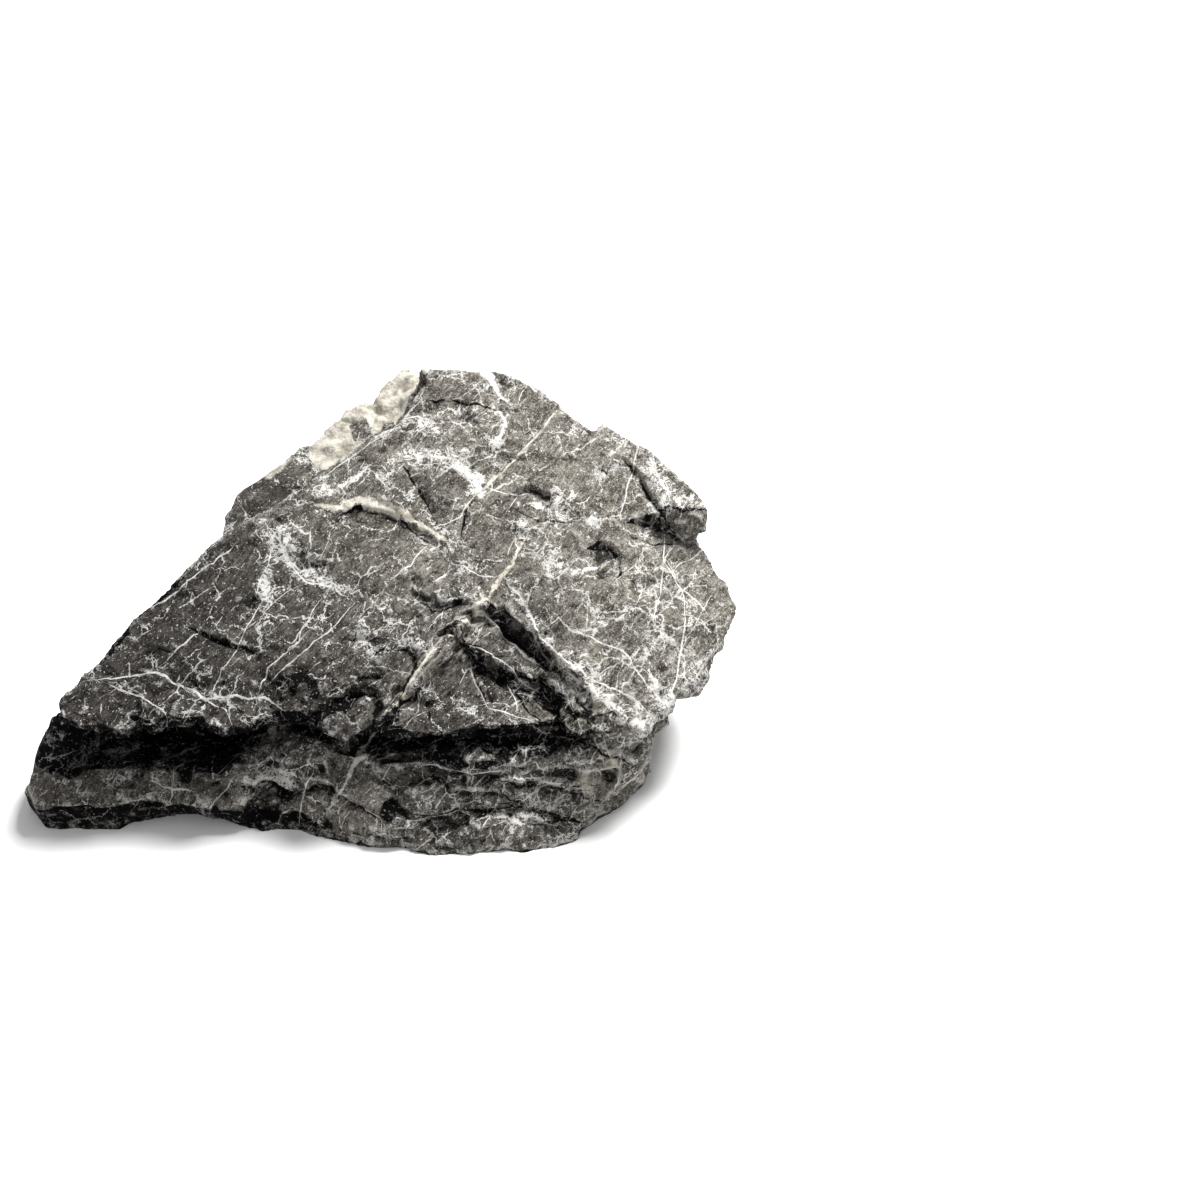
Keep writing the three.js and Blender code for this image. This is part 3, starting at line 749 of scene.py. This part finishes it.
# Painted shade and light: the steep sides are darker, and the front of the left foot and the low middle of
# the front are paler.
foot_front_light = lower * rise(24, 20, z) * rise(10, -40, x)
low_middle_light = lower * rise(-62, -54, x) * rise(10, 0, x) * rise(36, 30, z)
steep_shade = rise(0.75, 0.45, np.abs(level)) * ~lower * rise(-8, -14, over)
clouds = 0.3 * swell(skin, 17, 113) + 0.18 * swell(skin, 8, 114) + 0.1 * swell(skin, 4, 115)
tone = paler_toward_lamp - patches(plan, DARKER_AND_SHADED) + 0.55 * clouds
tone += upper * patches(plan, PALER_AND_LIT) + lower * patches(front, PALER_AND_LIT_FRONT)
tone += 0.42 * foot_front_light + 0.52 * low_middle_light - 0.3 * steep_shade
keep("tone", tone)

# How shut in each point is: the share of the sky above its own face that rock hides. The sky
# is rings of directions: how far up each ring is, in radians, and how many are in it.
SKY = [Vector((math.cos(a) * math.cos(e), math.sin(a) * math.cos(e), math.sin(e)))
       for e, turns in ((-0.35, 6), (0.15, 8), (0.7, 6), (1.35, 2))
       for a in (math.tau * k / turns + e for k in range(turns))]
SHUT_REACH = 45 * MM
OFF_SKIN = 0.8 * MM


def shut_in():
    mesh = stone.data
    tree = BVHTree.FromPolygons([v.co for v in mesh.vertices], [p.vertices[:] for p in mesh.polygons])
    shares = np.zeros(len(mesh.vertices))
    for i, vertex in enumerate(mesh.vertices):
        start = vertex.co + vertex.normal * OFF_SKIN
        seen = hidden = 0.0
        for way in SKY:
            weight = vertex.normal.dot(way)
            if weight > 0.05:
                seen += weight
                if tree.ray_cast(start, way, SHUT_REACH)[0] is not None:
                    hidden += weight
        shares[i] = hidden / seen if seen else 1.0
    return shares


# In some shut-in places the dirt and painted shade are weaker all the same: middle, reach and strength.
LESS_DIRT_AND_SHADE = [
    (66, -46, 6, 0.5), (74, -54, 9, 0.8), (83, -60, 9, 0.9), (104, 0, 9, 0.65), (118, 0, 10, 0.5),
    (128, 3, 8, 0.35), (28, -60, 12, 0.4), (50, -60, 9, 0.3),
]
LESS_DIRT_AND_SHADE_FRONT = [(-42, 25, 10, 0.45), (-28, 28, 8, 0.3), (20, 18, 14, 0.25)]
less_dirt_and_shade = patches(plan, LESS_DIRT_AND_SHADE) + lower * patches(front, LESS_DIRT_AND_SHADE_FRONT)
# How shut in each point is sets the dirt and the painted shade in its hollows.
keep("shut_in", eased(stone.data, shut_in(), 1) * (1 - less_dirt_and_shade))


# ------------------------ limestone
# Dense grey limestone: mottled body, white calcite in threads and hair webs, cream calcite in
# the thick veins and the crust, chalky scuffs where it was knocked, dark stain and painted shade where
# shut in.
ROCK, PALE_ROCK = (0.066, 0.060, 0.053, 1), (0.118, 0.109, 0.097, 1)
PALE_MOTTLE, DARK_MOTTLE = (0.21, 0.197, 0.176, 1), (0.028, 0.026, 0.023, 1)
PALE_FIBRE, PALE_GRAIN, DARK_GRAIN = (0.3, 0.285, 0.26, 1), (0.33, 0.32, 0.30, 1), (0.020, 0.019, 0.017, 1)
# The two pairs of tones multiply the colour by its tone, which is partly painted light and painted shade,
# darker on the side away from the lamp.
ROCK_TONES_AND_LIGHT = (0.47, 0.46, 0.46, 1), (1.38, 1.36, 1.32, 1)       # the rock is multiplied by these
WHITE = (0.60, 0.59, 0.565, 1)
WHITE_TONES_AND_SHADE = (0.78, 0.78, 0.78, 1), (0.95, 0.95, 0.94, 1)
CREAM, PALE_CREAM, CREAM_SPECK = (0.38, 0.35, 0.29, 1), (0.62, 0.59, 0.52, 1), (0.17, 0.15, 0.115, 1)
CRUST, PALE_CRUST = (0.27, 0.245, 0.20, 1), (0.50, 0.475, 0.415, 1)
# Black for stain and dirt, and for the painted shade in hollows, cracks and the recess.
DIRT_AND_SHADE = (0.0022, 0.0022, 0.0024, 1)


class Bench:
    """Places nodes in one tree. A value given to a socket is set, and a socket is linked."""

    def __init__(self, tree):
        self.tree = tree

    def put(self, socket, value):
        if isinstance(value, bpy.types.NodeSocket):
            self.tree.links.new(value, socket)
        else:
            socket.default_value = value

    def node(self, kind, sockets=(), **settings):
        made = self.tree.nodes.new(kind)
        for name, value in settings.items():
            setattr(made, name, value)
        for name, value in dict(sockets).items():
            self.put(made.inputs[name], value)
        return made

    def math(self, operation, first, second=0.0):
        return self.node("ShaderNodeMath", {0: first, 1: second}, operation=operation).outputs[0]

    def plus(self, first, second):
        return self.math("ADD", first, second)

    def minus(self, first, second):
        return self.math("SUBTRACT", first, second)

    def times(self, first, second):
        return self.math("MULTIPLY", first, second)

    def most(self, first, second):
        return self.math("MAXIMUM", first, second)

    def slope(self, value, low, high, start=0.0, end=1.0):
        made = self.node("ShaderNodeMapRange", {
            "Value": value, "From Min": low, "From Max": high, "To Min": start, "To Max": end},
            interpolation_type="SMOOTHSTEP")
        return made.outputs[0]

    def noise(self, place, per_metre, detail=3.0, rough=0.55, twist=0.0):
        made = self.node("ShaderNodeTexNoise", {
            "Vector": place, "Scale": per_metre, "Detail": detail, "Roughness": rough,
            "Distortion": twist})
        return made.outputs["Fac"]

    def mix(self, share, first, second, blend="MIX"):
        made = self.node("ShaderNodeMix", data_type="RGBA", blend_type=blend)
        self.put(made.inputs["Factor"], share)
        self.put(made.inputs[6], first)
        self.put(made.inputs[7], second)
        return made.outputs[2]

    def held(self, name):
        """A value kept at each point of the skin."""
        return self.node("ShaderNodeAttribute", attribute_name=name).outputs["Fac"]

    def vector(self, operation, first, second):
        """Second is a number for SCALE and a vector for the rest."""
        which = "Scale" if operation == "SCALE" else 1
        made = self.node("ShaderNodeVectorMath", {0: first, which: second}, operation=operation)
        return made.outputs["Value" if operation == "DOT_PRODUCT" else "Vector"]


def group(name, inputs, output):
    """An empty node group: a bench for it, its inputs by name, and its one output."""
    tree = bpy.data.node_groups.new(name, "ShaderNodeTree")
    for label, value in inputs.items():
        kind = "NodeSocketFloat" if isinstance(value, float) else "NodeSocketVector"
        tree.interface.new_socket(label, in_out="INPUT", socket_type=kind).default_value = value
    tree.interface.new_socket(output, in_out="OUTPUT", socket_type="NodeSocketFloat")
    given, result = tree.nodes.new("NodeGroupInput").outputs, tree.nodes.new("NodeGroupOutput").inputs
    return Bench(tree), given, result[output]


def vein_group():
    """One set of veins with frayed sides, which thin out and break here and there."""
    at, given, result = group("Vein", {
        "Place": (0, 0, 0), "Line": FAR, "Near": FAR, "Fray": 0.5, "Breaks": 0.5}, "Vein")
    place = given["Place"]
    fine = at.minus(at.noise(place, 1100, 3, 0.7), 0.5)
    broad = at.minus(at.noise(place, 260, 3, 0.6), 0.5)
    off = at.math("ABSOLUTE", at.plus(given["Line"], at.times(broad, 3.2)))
    off = at.plus(off, at.times(at.times(fine, given["Fray"]), 5.0))
    gone = at.slope(at.minus(at.noise(place, 130, 3, 0.6), 0.5), 0.0, 0.16, 0.0, 2.0)
    off = at.plus(off, at.times(gone, given["Breaks"]))
    inside = at.slope(off, 0.6, 1.2, 1.0, 0.0)
    close = at.slope(given["Near"], 2.6, 3.4, 1.0, 0.0)
    beside = at.plus(at.noise(place, 520, 6, 0.75), at.slope(given["Near"], 0.2, 2.8, 0.1, -0.1))
    beside = at.times(at.slope(beside, 0.66, 0.7), given["Fray"])
    at.put(result, at.times(at.most(inside, beside), close))
    return at.tree


def web_group():
    """Hair-fine calcite in a net of cracks, at one scale."""
    at, given, result = group("Hair web", {
        "Place": (0, 0, 0), "Scale": 100.0, "Thickness": 0.05, "Wander": 0.012, "Amount": 0.5}, "Web")
    place = given["Place"]
    shift = at.node("ShaderNodeTexNoise", {
        "Vector": place, "Scale": 150.0, "Detail": 4.0, "Roughness": 0.65}).outputs["Color"]
    push = at.vector("SCALE", at.vector("SUBTRACT", shift, (0.5, 0.5, 0.5)), given["Wander"])
    net = at.node("ShaderNodeTexVoronoi", {
        "Vector": at.vector("ADD", place, push), "Scale": given["Scale"]}, feature="DISTANCE_TO_EDGE")
    thin = at.math("DIVIDE", net.outputs["Distance"], given["Thickness"])
    fade = at.plus(at.noise(place, 120, 5, 0.72), at.minus(given["Amount"], 1.0))
    at.put(result, at.slope(at.plus(thin, at.slope(fade, 0.1, -0.04)), 0.45, 1.0, 1.0, 0.0))
    return at.tree


def scuff_group():
    """Chalky scuffs: threads and flecks in clusters, with feathered, broken edges."""
    at, given, result = group("Scuff", {"Place": (0, 0, 0), "Amount": 0.3}, "Scuff")
    place = given["Place"]
    cloud = at.noise(place, 60, 4, 0.65)
    reach = at.plus(at.times(at.minus(cloud, 0.5), 1.3), given["Amount"])
    wander = at.noise(place, 170, 6, 0.64, 1.2)
    thread = at.slope(at.math("ABSOLUTE", at.minus(wander, 0.5)), 0.012, 0.024, 1.0, 0.0)
    thread = at.times(thread, at.slope(reach, 0.12, 0.35))
    fleck = at.noise(place, 240, 9, 0.72, 0.8)
    fleck = at.slope(at.plus(fleck, at.times(reach, 0.2)), 0.640, 0.655)
    salt = at.noise(place, 1000, 2, 0.5)
    salt = at.slope(at.plus(salt, at.times(reach, 0.06)), 0.66, 0.69)
    at.put(result, at.most(at.most(thread, fleck), at.times(salt, 0.8)))
    return at.tree


def hackle_group():
    """Small broken facets: round each of many centres, a little plane tilted its own way."""
    at, given, result = group("Hackle", {"Place": (0, 0, 0), "Scale": 200.0}, "Height")
    place, scale = given["Place"], given["Scale"]
    cells = at.node("ShaderNodeTexVoronoi", {"Vector": place, "Scale": scale}, feature="F1").outputs
    away = at.vector("SCALE", at.vector("SUBTRACT", place, cells["Position"]), scale)
    tilt = at.vector("SUBTRACT", cells["Color"], (0.5, 0.5, 0.5))
    at.put(result, at.vector("DOT_PRODUCT", away, tilt))
    return at.tree


VEIN, HAIR_WEB, SCUFF, HACKLE = vein_group(), web_group(), scuff_group(), hackle_group()


class Limestone(Bench):
    """The nodes of the limestone itself, with the noises that its colours and height share."""

    def __init__(self, tree):
        super().__init__(tree)
        self.place = self.node("ShaderNodeTexCoord").outputs["Object"]
        self.cloud = self.noise(self.place, 45, 5, 0.65, 0.6)
        self.mottle = self.noise(self.place, 260, 6, 0.72)
        self.fibre = self.noise(self.drawn_out(0.95, (5.0, 1.0, 1.5)), 900, 4, 0.7, 0.3)
        self.grains = self.noise(self.place, 1500, 3, 0.75)
        self.tan = self.slope(self.noise(self.place, 170, 7, 0.74), 0.40, 0.56)
        self.tone, self.edge, self.density = (self.held(name) for name in ("tone", "edge", "web"))

    def drawn_out(self, turn, stretch):
        made = self.node("ShaderNodeMapping", {
            "Vector": self.place, "Rotation": (0, 0, turn), "Scale": stretch}, vector_type="TEXTURE")
        return made.outputs[0]

    def placed(self, tree, **values):
        return self.node("ShaderNodeGroup", {"Place": self.place, **values}, node_tree=tree).outputs[0]

    def vein(self, name, fray, breaks):
        return self.placed(
            VEIN, Line=self.held(name), Near=self.held(name + "_near"), Fray=fray, Breaks=breaks)

    def web(self, per_metre, thickness, sparse, dense, **others):
        amount = self.slope(self.density, 0, 1, sparse, dense)
        return self.placed(HAIR_WEB, Scale=per_metre, Thickness=thickness, Amount=amount, **others)

    def all_over(self, parts):
        """The strongest of several masks, each with its own strength."""
        most = 0.0
        for mask, strength in parts:
            most = self.most(most, self.times(mask, strength))
        return most

    def rock(self):
        """Warm grey in clouds, with drawn-out fibres and a salt of fine grains, all multiplied by its
        tone, which is partly painted light and shade.
        """
        colour = self.mix(self.slope(self.cloud, 0.42, 0.58), ROCK, PALE_ROCK)
        for noise, low, high, share, other in (
                (self.mottle, 0.52, 0.60, 0.6, PALE_MOTTLE), (self.mottle, 0.46, 0.39, 0.8, DARK_MOTTLE),
                (self.fibre, 0.54, 0.60, 0.4, PALE_FIBRE), (self.fibre, 0.46, 0.40, 0.6, DARK_GRAIN),
                (self.grains, 0.56, 0.61, 0.5, PALE_GRAIN), (self.grains, 0.44, 0.39, 0.6, DARK_GRAIN)):
            colour = self.mix(self.slope(noise, low, high, 0.0, share), colour, other)
        return self.mix(1.0, colour, self.mix(self.tone, *ROCK_TONES_AND_LIGHT), "MULTIPLY")

    def white(self):
        """White calcite in threads and in hair webs at three scales, chalk, and rubbed edges."""
        chalky = self.times(self.held("scuff"), 0.6)
        chalky = self.plus(chalky, self.slope(self.tone, 0, 1, -0.13, -0.04))
        rubbed = self.times(self.slope(self.edge, 0.1, 0.32), self.slope(self.mottle, 0.45, 0.6))
        rubbed = self.times(rubbed, self.slope(self.grains, 0.42, 0.54, 0.25, 0.8))
        straight = {"Place": self.drawn_out(1.0, (2.8, 1.0, 1.2)), "Wander": 0.004}
        return self.all_over([
            (self.vein("thread", 0.5, 0.25), 1.0), (self.vein("cross", 0.5, 0.25), 1.0),
            (self.web(46.0, 0.017, 0.55, 0.66), 0.85), (self.web(105.0, 0.032, 0.45, 0.58), 0.7),
            (self.web(240.0, 0.06, 0.32, 0.54), 0.35),
            (self.web(110.0, 0.025, 0.5, 0.56, **straight), 0.8),
            (self.placed(SCUFF, Amount=chalky), 1.0), (rubbed, 1.0)])

    def cream(self):
        """Cream calcite and where it is: in the thick veins and in streaks along the slip."""
        colour = self.mix(self.tan, CREAM, PALE_CREAM)
        colour = self.mix(self.slope(self.mottle, 0.47, 0.42, 0.0, 0.6), colour, CREAM_SPECK)
        streaks = self.node("ShaderNodeCombineXYZ", {
            0: self.held("slip_across"), 1: self.held("slip_along")}).outputs[0]
        streaks = self.vector("MULTIPLY", streaks, (1.0, 0.09, 1.0))
        streaks = self.slope(self.noise(streaks, 0.9, 4, 0.7), 0.45, 0.58)
        drawn = self.times(self.held("slip"), streaks)
        return colour, self.all_over([(self.vein("calcite", 0.3, 0.0), 1.0), (drawn, 0.5)])

    def crust(self):
        """The colour of the crust, and where it has grown."""
        uneven = self.times(self.minus(self.cloud, 0.5), 1.2)
        grown = self.slope(self.plus(self.held("crust"), uneven), 0.3, 0.5)
        return self.mix(self.tan, CRUST, PALE_CRUST), grown

    def dirt_and_shade(self, white, grown):
        """Black stain, dirt and painted shade, with ragged edges, where the rock is shut in, hollow or
        cracked, and along painted shadow lines. Specks of rock, calcite and crust show through it."""
        patchy = self.minus(self.mottle, 0.5)

        def ragged(value, ragging, low, high):
            return self.slope(self.plus(value, self.times(patchy, ragging)), low, high)

        dirt_and_shade = self.all_over([
            (ragged(self.held("shut_in"), 1.0, 0.46, 0.62), 1.0),
            (ragged(self.held("stain_and_shade"), 1.2, 0.42, 0.6), 1.0),
            (ragged(self.edge, -0.5, -0.16, -0.28), 0.85), (self.vein("crack_and_shadow", 0.5, 0.4), 1.0)])
        for mask, low, high, bare, covered in (
                (self.mottle, 0.57, 0.65, 1.0, 0.65), (white, 0, 1, 0.99, 0.6), (grown, 0, 1, 1.0, 0.35)):
            dirt_and_shade = self.times(dirt_and_shade, self.slope(mask, low, high, bare, covered))
        return dirt_and_shade

    def height(self):
        """Fine relief: grains, mottle, fibres, creases and two sizes of small facets."""
        creases = self.node("ShaderNodeTexNoise", {
            "Vector": self.place, "Scale": 130.0, "Detail": 5.0, "Roughness": 0.55},
            noise_type="RIDGED_MULTIFRACTAL", normalize=False).outputs["Fac"]
        height = 0.0
        for part, share in (
                (self.grains, 0.2), (self.mottle, 0.9), (self.fibre, 0.35), (creases, 0.25),
                (self.placed(HACKLE, Scale=170.0), 0.9), (self.placed(HACKLE, Scale=430.0), 0.5)):
            height = self.plus(height, self.times(part, share))
        return height


def limestone():
    material = bpy.data.materials.new("limestone")
    material.use_nodes = True
    material.node_tree.nodes.clear()
    at = Limestone(material.node_tree)
    white = at.white()
    cream, veined = at.cream()
    crust, grown = at.crust()
    colour = at.mix(white, at.rock(), WHITE)
    # Painted shade: everything so far is darkened further on the side away from the lamp.
    colour = at.mix(1.0, colour, at.mix(at.tone, *WHITE_TONES_AND_SHADE), "MULTIPLY")
    colour = at.mix(veined, colour, cream)
    colour = at.mix(grown, colour, crust)
    # Stain, dirt and painted shade are laid over all.
    colour = at.mix(at.dirt_and_shade(white, grown), colour, DIRT_AND_SHADE)
    bump = at.node("ShaderNodeBump", {"Height": at.height(), "Distance": 0.0012, "Strength": 0.9})
    shader = at.node("ShaderNodeBsdfPrincipled", {
        "Base Color": colour, "Roughness": at.minus(0.86, at.times(white, 0.12)),
        "Normal": bump.outputs[0], "Specular IOR Level": 0.03})
    at.node("ShaderNodeOutputMaterial", {"Surface": shader.outputs[0]})
    return material


stone.data.materials.append(limestone())
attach(stone, "root")
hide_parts(NODE)


# ------------------------ floor, light and camera
# A plain pale floor under soft studio light from above and behind on the right.
SPAN = 40.0             # metres, so that the floor's edge stays far off in low views


def pale_floor():
    mesh = bpy.data.meshes.new("floor")
    half = SPAN / 2
    corners = [(-half, -half, 0), (half, -half, 0), (half, half, 0), (-half, half, 0)]
    mesh.from_pydata(corners, [], [(0, 1, 2, 3)])
    floor = bpy.data.objects.new("floor", mesh)
    bpy.context.scene.collection.objects.link(floor)
    material = bpy.data.materials.new("pale floor")
    material.use_nodes = True
    shader = material.node_tree.nodes["Principled BSDF"]
    shader.inputs["Base Color"].default_value = (0.86, 0.86, 0.86, 1)
    shader.inputs["Roughness"].default_value = 0.9
    mesh.materials.append(material)
    return floor


pale_floor()


# One large soft lamp, aimed at the middle of the stone, and even white light all round.
LAMP_PLACE = Vector((0.44, 0.34, 1.02))
LAMP_ACROSS, LAMP_WATTS = 0.42, 30.5
LIGHT_ALL_ROUND = 0.55
lamp = bpy.data.objects.new("key", bpy.data.lights.new("key", "AREA"))
lamp.data.shape = "DISK"
lamp.data.size = LAMP_ACROSS
lamp.data.energy = LAMP_WATTS
lamp.location = LAMP_PLACE
middle = Vector((cad_low + cad_high) / 2)
lamp.rotation_euler = (middle - LAMP_PLACE).to_track_quat("-Z", "Y").to_euler()
bpy.context.scene.collection.objects.link(lamp)
world = bpy.data.worlds.new("studio")
bpy.context.scene.world = world
world.use_nodes = True
background = world.node_tree.nodes["Background"].inputs
background["Color"].default_value = (1, 1, 1, 1)
background["Strength"].default_value = LIGHT_ALL_ROUND
bpy.context.scene.view_settings.view_transform = "Standard"

# The camera looks down at 40 degrees, with the stone left of the middle of its view.
ELEVATION = math.radians(40)
CAMERA_DISTANCE = 0.702
AIM = Vector((0.0865, 0.0049, 0.045))
camera = bpy.data.objects.new("camera", bpy.data.cameras.new("camera"))
camera.data.lens = 50
camera.data.sensor_width = 36
camera.location = AIM + CAMERA_DISTANCE * Vector((0, -math.cos(ELEVATION), math.sin(ELEVATION)))
camera.rotation_euler = (math.pi / 2 - ELEVATION, 0, 0)
bpy.context.scene.collection.objects.link(camera)
bpy.context.scene.camera = camera
